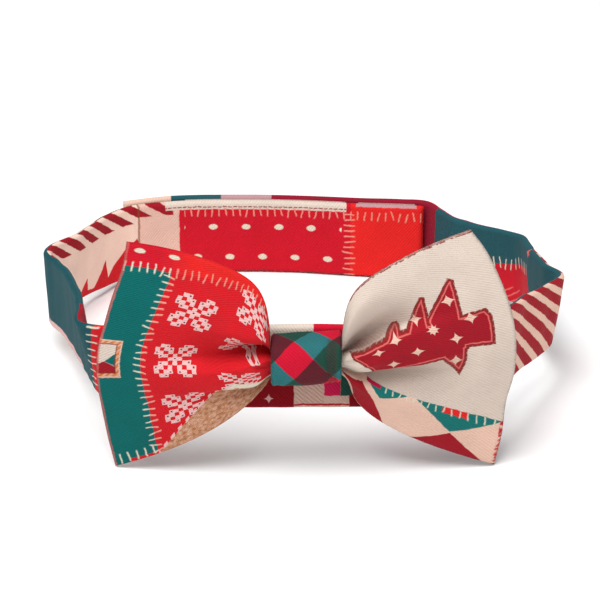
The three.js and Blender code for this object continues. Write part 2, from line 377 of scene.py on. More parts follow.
def addLamp(lampName, part):
    lamp = bpy.data.lights.new(lampName, "AREA")
    lamp.energy = studio[part + "Power"]
    lamp.size = studio[part + "Size"]
    holder = bpy.data.objects.new(lampName, lamp)
    holder.location = studio[part + "Place"]
    aim = studio["aim"] - Vector(studio[part + "Place"])
    holder.rotation_euler = aim.to_track_quat("-Z", "Y").to_euler()
    scene.collection.objects.link(holder)


def buildStudio():
    camera = bpy.data.objects.new("photoCamera", bpy.data.cameras.new("photoCamera"))
    camera.data.lens = studio["lens"]
    camera.data.sensor_width = 36.0
    camera.data.clip_end = 20.0
    camera.location = toPart(studio["camera"])
    camera.rotation_euler = (math.radians(90 - studio["elevation"]), 0, 0)
    scene.collection.objects.link(camera)
    scene.camera = camera
    addLamp("keyLamp", "key")
    addLamp("fillLamp", "fill")
    world = bpy.data.worlds.new("studioSky")
    world.use_nodes = True
    sky = world.node_tree.nodes["Background"]
    sky.inputs["Color"].default_value = (1, 1, 1, 1)
    sky.inputs["Strength"].default_value = studio["sky"]
    scene.world = world
    ground = bmesh.new()
    bmesh.ops.create_grid(ground, x_segments=8, y_segments=8, size=3.0)
    bmesh.ops.translate(ground, verts=ground.verts, vec=(0, 0, studio["floorRise"]))
    mesh = bpy.data.meshes.new("paleFloor")
    ground.to_mesh(mesh)
    ground.free()
    paper = bpy.data.materials.new("palePaper")
    paper.use_nodes = True
    shader = paper.node_tree.nodes["Principled BSDF"]
    shader.inputs["Base Color"].default_value = (0.97, 0.97, 0.97, 1)
    shader.inputs["Roughness"].default_value = 0.9
    mesh.materials.append(paper)
    floor = bpy.data.objects.new("paleFloor", mesh)
    scene.collection.objects.link(floor)
    print("studio ready")


buildStudio()

# Strap, one row per bend: x, y, rise of the lower edge, lean in degrees
strap = {
    "height": 25.0,
    "half": 1.2,
    "fold": 1.15,
    "endRound": 1.2,
    "cells": (640, 64),
    "evenShare": 0.55,  # the rest of the rows crowd to the edges
    "routeSteps": 1600,
    "route": [
        (37.0, 117.4, 0, 3), (19.0, 119.2, 0, 2), (-3.0, 122.2, 0, 0), (-22.0, 122.8, 0, 0),
        (-43.0, 121.6, 0, 0), (-54.5, 117.5, 0.6, 0), (-61.5, 110.0, 1.8, -2), (-67.0, 101.5, 3.2, -5),
        (-71.8, 91.0, 5.0, -6), (-76.3, 74.0, 7.8, 2), (-73.0, 63.5, 9.5, 2), (-69.8, 54.5, 11.0, 2),
        (-65.0, 38.0, 13.7, 3.5), (-60.4, 22.0, 16.4, 9), (-58.4, 13.0, 17.9, 12), (-53.0, 6.6, 19.0, 4),
        (-34.0, 2.6, 19.6, -5), (0.0, 1.2, 20.0, -7), (30.0, 3.2, 19.5, -6), (47.0, 9.5, 18.4, -2),
        (56.2, 21.0, 16.5, 3), (62.0, 33.5, 14.5, 4), (67.2, 42.5, 13.0, 6), (71.4, 51.5, 11.5, 8),
        (71.6, 59.0, 10.2, -1), (69.4, 68.5, 8.7, -1), (68.0, 78.5, 7.0, -2), (66.8, 88.5, 5.4, -3),
        (60.5, 97.0, 4.0, -6), (51.8, 103.0, 3.0, -4), (46.6, 107.0, 2.3, -2), (41.8, 114.2, 1.0, 1),
        (37.4, 120.7, 0.2, 3), (30.0, 122.2, 0, 3), (18.0, 123.3, 0, 2), (-3.0, 126.0, 0, 0),
        (-22.0, 126.6, 0, 0), (-43.0, 125.6, 0, 0), (-57.4, 121.8, 0, 0),
    ],
    "slack": [(0, 0.12), (86, 0.16), (100, 0.8), (150, 1.0), (210, 1.0), (240, 0.5), (320, 0.6),
              (370, 1.0), (440, 0.9), (452, 0.14), (546, 0.12)],  # how much it may crumple
    "crumples": [(0.55, 17, 30, 1.7), (0.32, 5.5, 16, 8.3)],  # depth, length, height, seed
    "puff": 0.1, "puffSize": 9,
    "sway": 0.3, "swaySize": 11,
    "crease": 91,  # where the flap folds off
    "creaseDepth": 0.6, "creaseWidth": 0.8, "creaseFade": 3,
    "weave": {"pitch": 0.75, "lean": 38.0, "twillTone": 0.1, "twillRelief": 0.5, "wander": 0.7,
              "sheen": 0.03, "depth": 0.92},
}


def measureStrap():
    feet = [Vector(row[:3]) for row in strap["route"]]
    leans = [Vector((row[0], row[1], row[3])) for row in strap["route"]]
    steps = strap["routeSteps"]
    spots = [smoothThrough(feet, i / steps) for i in range(steps + 1)]
    table = []
    run = 0.0
    for i, foot in enumerate(spots):
        run += (foot - spots[i - 1]).length if i else 0.0
        ahead = spots[min(i + 1, steps)] - spots[max(i - 1, 0)]
        ahead = Vector((ahead.x, ahead.y, 0)).normalized()
        outward = Vector((ahead.y, -ahead.x, 0))
        lean = math.radians(smoothThrough(leans, i / steps).z)
        upward = Vector((0, 0, math.cos(lean))) + outward * math.sin(lean)
        table.append((run, Vector((foot.x, foot.y, max(0.0, foot.z))), outward, upward))
    return table


strapTable = measureStrap()
strapRuns = [row[0] for row in strapTable]
strapLength = strapRuns[-1]


def strapAt(run):
    i = min(max(bisect.bisect(strapRuns, run), 1), len(strapTable) - 1)
    a, b = strapTable[i - 1], strapTable[i]
    share = (run - a[0]) / (b[0] - a[0])
    return [p.lerp(q, share) for p, q in zip(a[1:], b[1:])]


def strapDots(along, across, art):  # dots in two of the patches
    right, up = art["dotStart"]
    first, second = art["dotRuns"]
    dots = dotRows(along - right, across - up, *art["dotSizes"])
    return dots * along.within(*first).most(along.within(*second)) * across.within(*art["dotBand"])


strap["inside"] = {  # print on the side that faces the neck; places are along the strap and up it
    # the peach from 91 to 152 on the inner wall is lightened as painted light
    "blocks": [(0, "brightRed"), (23.2, "flapRed"), (77.6, "warmCream"), (91, "innerPeach"),
               (152, "darkTeal"), (195, "darkRed"), (226, "cream"), (256, "teal"), (286, "flapRed"),
               (322, "darkTeal"), (443.5, "wine"), (499, "lilac"), (515, "darkTeal"), (531, "peach")],
    "seams": (152, 195, 226, 256, 286, 322),
    "dotStart": (61.6, 11.2), "dotSizes": (10.4, 10.6, 2.8, 1.9), "dotRuns": ((26, 76), (289, 320)),
    "dotBand": (3, 21),
    "barLean": 1.6, "barShift": 34.0, "barRun": (79.5, 152), "barFoot": 19.4, "barRaise": 1.8,
    "hillRun": (88, 124),
    "hills": [(0.0, 1.5), (0.06, 9), (0.1, 14), (0.22, 12), (0.32, 9.5), (0.42, 7), (0.5, 4.0),
              (0.53, 10.4), (0.62, 6.5), (0.72, 2.4), (0.82, 2.8), (0.85, 7.4), (0.96, 3), (1.0, 0)],
    "square": [(388, -2), (419, -2), (418, 13.0), (393.6, 17.4), (390.4, 11)],
    "lineLean": 0.55, "lineShift": 225.2, "lineInset": 0.6, "lineTop": 6.5,
    "stars": [(390.6, 24.0)], "starReach": 2.0,
    "rimRun": (393, 418), "rimRise": 13.2, "rimSlope": 0.18,
    "scraps": [((24.6, 82), (22.7, 30), "cream"), ((2.5, 21.5), (24.7, 30), "lilac")],
    "facingRun": (24.6, 82), "facingLine": (23.35, 23.7),
    "hangRise": 21.6, "hangEnd": 76,
    "columnPlace": 23.6, "columnTop": 22.4,
    "creaseLine": (0.35, 0.3), "creaseShade": 0.75,
}


def strapInside(along, across, cut):
    art = strap["inside"]
    colour = dyeBlocks(along, art["blocks"])
    colour.cover(strapDots(along, across, art), "thread")
    slant = along - across * art["barLean"] + art["barShift"]
    bars = bands(slant, pitch=9.4, low=0.2, high=0.74, soft=0.04)
    foot = art["barFoot"] + along.below(strap["crease"]) * art["barRaise"]
    colour.cover(bars * across.above(foot) * along.within(*art["barRun"]), "darkRed")
    tall = strap["height"]
    start, end = art["hillRun"]
    stops = [(place, (high / tall,) * 3 + (1,)) for place, high in art["hills"]]
    share = along.maths("MULTIPLY_ADD", 1 / (end - start), -start / (end - start), clamp=True)
    ridge = along.node("ShaderNodeValToRGB", {"stops": stops}, {0: share}) * tall
    colour.cover(across.below(ridge) * along.within(start, end), "red")
    square = plate(along, across, art["square"])
    colour.cover(square.below(0.0), "flapRed")
    slant = along * art["lineLean"] + across - art["lineShift"]
    lines = bands(slant, pitch=2.5, low=0.4, high=0.62, soft=0.08)
    lines = lines * square.below(-art["lineInset"]) * across.below(art["lineTop"])
    colour.cover(lines, "pink")
    colour.cover(sparkles(along, across, art["stars"], art["starReach"]), "pink")
    slope = (art["rimRun"][1] - along) * art["rimSlope"]
    rim = stitchRow(along, across - art["rimRise"] - slope, pitch=2.6, length=3.8)
    rim = rim * along.within(*art["rimRun"])
    colour.cover(rim, "thread")
    layScraps(colour, along, across, art["scraps"])
    line = across.within(*art["facingLine"]) * dashes(along, pitch=1.6, share=0.8, soft=0.1)
    colour.cover(line * along.within(*art["facingRun"]), "rust")
    hang = stitchRow(along, across - art["hangRise"], pitch=2.2, length=2.9, thread=0.45, lean=0.6)
    hang = hang * along.below(art["hangEnd"])
    column = stitchRow(across, along - art["columnPlace"], pitch=1.9, length=3.4)
    column = column * across.below(art["columnTop"])
    colour.cover(hang.most(column), "rose")
    seams = nearestOf([abs(along - place) for place in art["seams"]])
    sewn = stitchRow(across, seams, pitch=2.3, length=3.2)
    colour.cover(sewn, "palePink")
    # painted shade: a brown line along the crease where the flap folds off
    crease = abs(along - strap["crease"]).below(*art["creaseLine"])
    colour.cover(crease * art["creaseShade"], "brown")
    return colour, hang.most(column).most(sewn).most(rim) * shared["threadRelief"]


strap["outside"] = {  # print on the side seen from outside
    # the cream from 266.5 to 282, under the knot, is darkened as painted shade
    "blocks": [(0, "flapRed"), (26, "cream"), (80, "maroon"), (112, "cream"), (136, "wallTeal"),
               (250, "deepRed"), (266.5, "duskCream"), (282.0, "deepRed"), (290, "cream"),
               (318, "darkRed"), (391, "darkTeal"), (420, "red"), (458, "maroon"), (499, "lilac"),
               (515, "darkTeal"), (531, "peach")],
    "seams": (80, 112, 136, 391, 420, 458, 499, 515),
    "slantLean": 0.21, "slantSeam": 207.3, "slantEnd": 250,
    "candyLean": 1.35, "candyArch": 0.013, "candyShift": 367.0, "candyRun": (314, 391),
    "candyLip": (314, 318.2),
    "dotStart": (0, 2.0), "dotSizes": (9.6, 10.0, 2.8, 2.1), "dotRuns": ((424, 456), (214, 248)),
    "dotBand": (2, 23),
    "knits": [(86.0, (1.5, 21.0, 18.0), (82, 111)), (461, (1.45, 19.0, 18.0), (460, 497))],
    "knitFoot": 3.5, "knitBand": (4, 21),
    "grainLean": 1.2, "grainRun": (266.5, 275), "grainBand": (2.2, 9), "grainShade": 0.4,
    "scraps": [((255, 272), (20, 30), "cream"), ((272, 281), (20, 30), "knotRed"),
               ((275, 279.5), (4.4, 14), "magenta"), ((279.5, 282.5), (4.4, 14), "darkGreen"),
               ((266.5, 282), (1.4, 2.0), "darkRed"), ((146, 190), (-5, 3.0), "palePink")],
    "stars": [(259.5, 3.6), (255, 9), (261, 12)],
    "starReach": 1.5, "starShade": 0.6, "starRun": (250, 266),
}


def strapOutside(along, across, cut):
    art = strap["outside"]
    colour = dyeBlocks(along, art["blocks"])
    slant = along - across * art["slantLean"]
    colour.cover(slant.above(art["slantSeam"]) * along.below(art["slantEnd"]), "red")
    middle = across - strap["height"] / 2
    arched = along + across * art["candyLean"] + middle * middle * art["candyArch"]
    candy = bands(arched - art["candyShift"], pitch=9.0, low=0.21, high=0.79, soft=0.04)
    colour.cover((1 - candy) * along.within(*art["candyRun"]), "peach")
    colour.cover(candy * along.within(*art["candyLip"]), "darkRed")
    colour.cover(strapDots(along, across, art), "peach")
    for start, sizes, run in art["knits"]:
        knit = knitStars(along - start, across - art["knitFoot"], *sizes)[0]
        knit = knit * along.within(*run) * across.within(*art["knitBand"])
        colour.cover(knit, "palePink")
    grain = dashes(along + across * art["grainLean"], pitch=1.5, share=0.3, soft=0.2)
    grain = grain * along.within(*art["grainRun"]) * across.within(*art["grainBand"])
    colour.cover(grain * art["grainShade"], "brown")
    layScraps(colour, along, across, art["scraps"])
    stars = sparkles(along, across, art["stars"], art["starReach"]) * art["starShade"]
    colour.cover(stars * along.within(*art["starRun"]), "palePink")
    gaps = [abs(along - place) for place in art["seams"]]
    gaps.append(abs(slant - art["slantSeam"]))
    sewn = stitchRow(across, nearestOf(gaps), pitch=2.6, length=3.2, thread=0.45)
    colour.cover(sewn, "thread")
    return colour, sewn * shared["threadRelief"]


def buildStrap():
    cloth, layer = newSheet(strap["cells"])
    for face in cloth.faces:
        face.material_index = 0 if face.calc_center_median().y < 0 else 1
    tall = strap["height"]
    even = strap["evenShare"]
    for vert in cloth.verts:
        run = (vert.co.x + 1) / 2 * strapLength
        side = -1 if vert.co.y < 0 else 1
        share = 1 - abs(vert.co.y)
        up = tall * (even * share + (1 - even) * (1 - math.cos(math.pi * share)) / 2)
        foot, outward, upward = strapAt(run)
        slack = between(strap["slack"], run)
        edge = min(up, tall - up)
        ends = roundOff(min(run, strapLength - run), strap["endRound"])
        size = strap["puffSize"]
        puff = 1 + strap["puff"] * slack * noise.noise((run / size, up / size, side * 3.0))
        out = side * strap["half"] * roundOff(edge, strap["fold"]) * ends * puff
        for depth, length, height, seed in strap["crumples"]:
            out += slack * depth * noise.noise((run / length, up / height, seed))
        if side < 0:
            crease = math.exp(-((run - strap["crease"]) / strap["creaseWidth"]) ** 2)
            out += strap["creaseDepth"] * crease * roundOff(edge, strap["creaseFade"])
        sway = strap["sway"] * slack * noise.noise((run / strap["swaySize"], 4.1, 0.3)) * (up / tall)
        place = foot + outward * out + upward * (up - abs(sway))
        place.z = max(0.0, place.z)
        vert[layer] = (run, up, side)
        vert.co = toPart(place)
    inside = clothMaterial("strapInsidePrint", strapInside, strap["weave"])
    outside = clothMaterial("strapOutsidePrint", strapOutside, strap["weave"])
    piece = finishPiece("strapCloth", cloth, [inside, outside], "collar_strap")
    return piece


strapCloth = buildStrap()

# Fastening tapes between the two back layers
tapes = {
    "half": 0.4,
    "low": 4.5,
    "high": 24.4,
    "edgeRound": 0.5,
    "hem": 1.5, "hemShade": 0.4,
    "tuftTop": (0.35, 0.4), "tuftShade": 0.5, "tuftRelief": 1.2,
    "cells": (60, 48),
    "innerRun": (0.0, 90.0),
    "outerRun": (450.5, strapLength),
    "loop": {"from": 12.5, "to": -38.0, "tone": "cream", "tufts": 2.6,
             "name": "loopTape", "node": "loop_tape"},
    "hook": {"from": 34.5, "to": 16.5, "tone": "lilac", "tufts": 1.7,
             "name": "hookTape", "node": "hook_tape"},
    "weave": {"pitch": 1.1, "lean": 90.0, "twillTone": 0.06, "twillRelief": 0.3, "wander": 0.3,
              "sheen": 0.1, "depth": 1.0},
}


def layerAt(x, first, last):  # a back layer where it passes x
    near, far = first, last
    for step in range(40):
        middle = (near + far) / 2
        if strapAt(middle)[0].x > x:
            near = middle
        else:
            far = middle
    return strapAt((near + far) / 2)


def pileSurface(tape):
    def pattern(along, across, cut):
        tufts = cut.node("ShaderNodeTexVoronoi", None, {"Vector": cut, "Scale": tape["tufts"]})
        pale = tufts.above(*tapes["tuftTop"]) * tapes["tuftShade"]
        colour = pale.choose(tape["tone"], "warmCream")
        hems = across.below(tapes["low"] + tapes["hem"]).most(across.above(tapes["high"] - tapes["hem"]))
        colour.cover(hems * tapes["hemShade"], "brown")
        return colour, (1 - tufts) * tapes["tuftRelief"]
    return pattern


def buildTape(tape):
    cloth, layer = newSheet(tapes["cells"])
    for vert in cloth.verts:
        x = tape["from"] + (tape["to"] - tape["from"]) * (vert.co.x + 1) / 2
        side = -1 if vert.co.y < 0 else 1
        up = tapes["low"] + (tapes["high"] - tapes["low"]) * (1 - abs(vert.co.y))
        inner = layerAt(x, *tapes["innerRun"])
        outer = layerAt(x, *tapes["outerRun"])
        foot, outward, upward = (a.lerp(b, 0.5) for a, b in zip(inner, outer))
        edge = min(up - tapes["low"], tapes["high"] - up, abs(x - tape["from"]), abs(x - tape["to"]))
        out = side * tapes["half"] * roundOff(edge, tapes["edgeRound"])
        place = foot + outward.normalized() * out + upward.normalized() * up
        vert[layer] = (x, up, side)
        vert.co = toPart(place)
    material = clothMaterial(tape["name"] + "Pile", pileSurface(tape), tapes["weave"])
    piece = finishPiece(tape["name"], cloth, [material], tape["node"])
    length = abs(tape["from"] - tape["to"]) * millimetre


buildTape(tapes["loop"])
buildTape(tapes["hook"])

# Bow; edges and bends run from the lower tip to the upper one
bow = {
    "waistHalf": 9.7, "waistRise": 38.6, "waistSpread": 4.8, "waistDepth": -5.75, "waistRoll": 0.06,
    "waistShare": 0.13, "waistTall": 10,
    "wingGrowth": 62,  # how much taller a wing is at its side edge
    "wingReach": 52,
    "thick": 2.4,
    "hemThick": 1.3, "hemBlend": 7, "hemRound": 0.9,
    "cells": (250, 200),
    "evenShare": 0.62,
    "printReach": (34.6, 13.7), "printHalf": 36.0,
    "liningMark": 40.0,
    # the low depth darkens the bow's dyes as painted shade for the stronger light on the wings
    "weave": {"pitch": 0.72, "lean": 62.0, "twillTone": 0.1, "twillRelief": 0.5, "wander": 0.7,
              "sheen": 0.03, "depth": 0.81},
    "rightEdge": [(53.4, 2.6, 0.0), (55.2, 2.2, 10.2), (56.0, 1.2, 21.0), (57.9, 0.2, 31.0),
                  (58.1, 0.0, 41.2), (56.6, 1.0, 50.2), (53.6, 3.0, 58.5), (49.8, 5.4, 66.0),
                  (45.1, 8.0, 71.9)],
    "leftEdge": [(-54.0, 1.8, 0.0), (-55.8, 1.5, 9.4), (-57.2, 1.0, 19.0), (-58.2, 0.3, 28.4),
                 (-57.9, 0.0, 37.9), (-55.8, 0.8, 46.2), (-53.4, 2.0, 54.3), (-50.6, 4.0, 61.8),
                 (-49.2, 6.0, 69.2)],
    "rightBend": [(11.0, -6.5, 18.0), (21.0, -8.5, 26.5), (27.0, -9.0, 40.5), (20.0, -8.5, 56.0),
                  (12.0, -6.5, 67.5)],
    "leftBend": [(-21.0, -6.5, 14.0), (-23.0, -8.5, 27.0), (-27.0, -9.0, 41.0), (-19.0, -8.5, 56.5),
                 (-11.0, -6.5, 71.0)],
    # pleats, hem to hem: across at the waist and further out, then forward at the waist, near it and far
    "rightPleats": [(-1.0, -1.0, 0.2, 0.2, 0.0), (-0.76, -0.55, 1.9, 2.6, 1.5),
                    (-0.48, -0.19, -2.0, -4.4, -4.6), (-0.34, -0.08, 1.4, 2.4, 2.0),
                    (-0.14, 0.1, 2.6, 4.4, 3.4), (0.13, 0.265, 2.6, 4.4, 3.2),
                    (0.25, 0.36, -2.0, -3.4, -4.4), (0.8, 0.8, 1.6, 2.8, 2.2), (1.0, 1.0, 0.0, 0.0, 0.0)],
    "leftPleats": [(-1.0, -1.0, 0.2, 0.2, 0.0), (-0.8, -0.5, -1.5, -2.8, -2.4),
                   (-0.64, -0.38, 1.4, 2.0, 2.0), (-0.1, -0.28, 2.2, 3.2, 2.6),
                   (0.36, -0.17, 2.4, 3.8, 2.8), (0.5, -0.03, -2.4, -5.4, -4.2),
                   (0.8, 0.45, 1.8, 3.0, 2.4), (1.0, 1.0, 0.0, 0.0, 0.0)],
    "slideEnd": 0.42,
    "pleatNear": 0.14, "pleatFar": 0.3,
    "pleatFade": (0.16, 0.72),  # start and span, as below
    "rightTuck": (-0.36, -0.09, 0.5),  # where a roll hangs over its pleat, and how far
    "leftTuck": (-0.66, -0.4, 1.2),
    "tuckWidth": 0.09, "tuckRise": (0.03, 0.14), "tuckFade": (0.2, 0.45),
    "rightShoulder": 4.6, "leftShoulder": 5.0,
    "shoulderFrom": 0.35, "shoulderPeak": 0.2,
    "rightPinch": 1.5, "leftPinch": 0.0,
    "pinchPower": 1.2, "pinchPeak": 0.1,
    "gathers": 21,
    "gatherShift": 1.3, "gatherWander": 2.2, "gatherDepth": 0.35, "gatherReach": 0.5,
    "gatherRise": 0.08, "gatherHem": 0.1,
    "dents": [(1.0, 15, 2.5), (0.5, 6, 7.5)],  # share, size, seed
    "dentDepth": 0.45, "dentRise": 0.3, "dentHem": 0.12,
}


def easeFrom(share, start, span):
    return ease((share - start) / span)


def slideOut(out):  # how far a pleat has moved from its place at the waist
    return 1 - (1 - min(1.0, out / bow["slideEnd"])) ** 2


def pleatForward(rows, out, across):
    slide = slideOut(out)
    first = ease(out / bow["pleatNear"])
    second = easeFrom(out, bow["pleatNear"], bow["pleatFar"])
    hold = 1 - easeFrom(out, *bow["pleatFade"])
    last = None
    for waist, reach, tied, near, far in rows:
        here = waist + (reach - waist) * slide
        forward = tied + (near - tied) * first
        forward = (forward + (far - forward) * second) * hold
        if last and across <= here:
            share = (1 - math.cos(math.pi * (across - last[0]) / (here - last[0]))) / 2
            return last[1] + (forward - last[1]) * share
        last = (here, forward)
    return last[1]


def wingPoint(side, out, across):  # front of a wing
    hand = "right" if side > 0 else "left"
    edge, bend, pleats, tuck = (bow[hand + name] for name in ("Edge", "Bend", "Pleats", "Tuck"))
    share = (across + 1) / 2
    x = side * bow["waistHalf"]
    rise = bow["waistRise"] + x * bow["waistRoll"] + across * bow["waistSpread"]
    waist = Vector((x, bow["waistDepth"], rise))
    middle = smoothThrough([Vector(p) for p in bend], share, True)
    tip = smoothThrough([Vector(p) for p in edge], share, True)
    point = waist * (1 - out) ** 2 + middle * (2 * out * (1 - out)) + tip * out ** 2
    point.y -= pleatForward(pleats, out, across)
    shoulder = bow[hand + "Shoulder"] * easeFrom(across, bow["shoulderFrom"], 1 - bow["shoulderFrom"])
    point.z += shoulder * swellAt(out, bow["shoulderPeak"])
    pinch = bow[hand + "Pinch"] * max(0.0, -across) ** bow["pinchPower"]
    point.x += side * pinch * swellAt(out, bow["pinchPeak"])
    lip = tuck[0] + (tuck[1] - tuck[0]) * slideOut(out)
    hang = tuck[2] * math.exp(-((across - lip) / bow["tuckWidth"]) ** 2)
    point.z -= hang * easeFrom(out, *bow["tuckRise"]) * (1 - easeFrom(out, *bow["tuckFade"]))
    inward = 1 - abs(across)
    wander = bow["gatherWander"] * noise.noise((across * 3, side * 5.0, 0.4))
    gather = bow["gatherDepth"] * math.sin(across * bow["gathers"] + side * bow["gatherShift"] + wander)
    gather *= max(0.0, 1 - out / bow["gatherReach"]) ** 1.5 * ease(out / bow["gatherRise"])
    point.y -= gather * ease(inward / bow["gatherHem"])
    dent = sum(part * noise.noise((point.x / size, point.z / size, seed))
               for part, size, seed in bow["dents"])
    point.y -= bow["dentDepth"] * dent * ease(out / bow["dentRise"]) * ease(inward / bow["dentHem"])
    return point


def bowPoint(run, across):
    reach = abs(run)
    if reach >= bow["waistShare"]:
        out = (reach - bow["waistShare"]) / (1 - bow["waistShare"])
        side = 1 if run > 0 else -1
        return wingPoint(side, out, across), out
    share = (run / bow["waistShare"] + 1) / 2
    return wingPoint(-1, 0.0, across).lerp(wingPoint(1, 0.0, across), share), 0.0


bow["knitPanel"] = {  # left print; places are out from the knot and up from the middle
    "liftEnd": (27.8, 0.05), "lift": 9.5,
    "knitStart": (10.4, -10.6), "knitEnd": 45.0, "knitRelief": 0.4,
    "rimDrop": 14.0, "rimBends": (21.0, 28.3), "rimSlopes": (-0.9, 0.62, 0.33),
    "grainPale": (0.56, 0.12), "grainDark": (0.43, 0.1), "grainShade": 0.6,
    "checkBand": (-0.3, 1.1), "checkFrom": 26,
    "pipingEnd": 24.0, "pipingFoot": 0.3, "pipingTop": 1.8, "pipingSlope": 0.16,
    "stripFoot": 28.8, "stripBend": 46.0, "stripSlope": 0.16, "stripBlend": 9.0,
    "dotStart": (50.7, 31.0), "dotBand": (32.4, 36), "dotsFrom": 43,
    "tealFrom": 46.1,
    "cornerTop": -34.2, "cornerEnd": 54.0,
    "lowSeam": -33.6, "upperFrom": 45, "sideTop": 28,
    "patch": [(51.9, -7.0), (59.5, -7.0), (59.5, 4.5), (51.9, 4.5)],
    "patchTeal": [(51.9, -4.0), (56.2, -2.4), (52.4, 1.0), (51.0, 1.0)],
    "patchRed": [(51.9, -7.0), (59.5, -7.0), (59.5, -3.4), (56.2, -2.4), (51.9, -4.2)],
    "edgingInset": 0.55, "edgingHalf": 0.6, "edgingShade": 0.55,
    "innerLineInset": 1.25, "innerLine": (0.18, 0.2),
    "outerLine": (0.2, 0.2), "lineShade": 0.8,
    "tip": (57.7, 0.3), "tipShade": 0.6,
}


def leftPrint(along, across, cut):  # red knit panel with a teal end, a dotted strip and a tan corner
    art = bow["knitPanel"]
    right, up = art["knitStart"]
    lifted = across + along.below(*art["liftEnd"]) * art["lift"]
    knit, spot = knitStars(along - right, lifted - up, cell=1.3, pitch=17.4, rise=19.0)
    knit = knit * along.below(art["knitEnd"])
    colour = knit.choose("red", "palePink")
    colour.cover(spot * knit, "speck")
    first, second = art["rimBends"]
    near, middle, far = art["rimSlopes"]
    rim = (first - along).most(0.0) * near - (along - first).most(0.0) * middle - art["rimDrop"]
    rim = rim - (along - second).most(0.0) * far
    grain = clouds(cut, scale=0.75, detail=4.0, roughness=0.7)
    below = across.below(rim)
    colour.cover(below, "tan")
    colour.cover(below * grain.above(*art["grainPale"]) * art["grainShade"], "warmCream")
    colour.cover(below * grain.below(*art["grainDark"]) * art["grainShade"], "brown")
    gap = across - rim
    checks = gap.within(*art["checkBand"]) * dashes(along, pitch=2.4, share=0.5, soft=0.08)
    colour.cover(checks * along.above(art["checkFrom"]), "palePink")
    pipingTop = (art["pipingEnd"] - along) * art["pipingSlope"] + art["pipingTop"]
    piping = gap.above(art["pipingFoot"]) * gap.below(pipingTop) * along.below(art["pipingEnd"])
    colour.cover(piping, "thread")
    top = art["stripFoot"] + (art["stripBend"] - along).most(0.0) * art["stripSlope"]
    strip = across.above(top)
    stripRed = along.above(art["stripBend"], art["stripBlend"])
    colour.cover(strip, stripRed.choose("brightRed", "flapRed"))
    right, up = art["dotStart"]
    dots = dotRows(along - right, across - up, pitch=8.4, rise=6.4, wide=2.6, high=1.6)
    dots = dots * across.within(*art["dotBand"]) * along.above(art["dotsFrom"])
    colour.cover(dots, "thread")
    tealFrom = art["tealFrom"]
    colour.cover(along.above(tealFrom) * (1 - strip), "teal")
    corner = across.below(art["cornerTop"]) * along.within(tealFrom, art["cornerEnd"])
    colour.cover(corner, "red")
    low = stitchRow(along, across - art["lowSeam"], pitch=2.3, length=3.2, thread=0.45)
    low = low * along.above(tealFrom)
    upper = stitchRow(along, across - top, pitch=1.9, length=3.2, thread=0.42)
    side = stitchRow(across, along - tealFrom, pitch=2.2, length=3.2, thread=0.45, lean=0.6)
    side = side * across.below(art["sideTop"])
    pale = side.most(upper * along.above(art["upperFrom"])).most(low)
    onRed = upper.most(side) * along.below(tealFrom)
    colour.cover(pale, "thread")
    colour.cover(onRed, "rose")
    patch = plate(along, across, art["patch"])
    inPatch = patch.below(0.0)
    colour.cover(inPatch, "cream")
    for name, tone in (("patchTeal", "teal"), ("patchRed", "darkRed")):
        colour.cover(plate(along, across, art[name]).below(0.0) * inPatch, tone)
    edging = abs(patch + art["edgingInset"]).below(art["edgingHalf"])
    dashed = edging * dashes(along + across, pitch=1.9, share=0.5, soft=0.1)
    colour.cover(edging, "orange")
    colour.cover(dashed * art["edgingShade"], "peach")
    innerLine = abs(patch + art["innerLineInset"]).below(*art["innerLine"])
    colour.cover(innerLine * art["lineShade"], "rust")
    colour.cover(abs(patch).below(*art["outerLine"]) * art["lineShade"], "peach")
    colour.cover(along.above(*art["tip"]) * art["tipShade"], "pink")
    sewn = pale.most(onRed).most(dashed)
    return colour, sewn * shared["threadRelief"] + knit * art["knitRelief"]


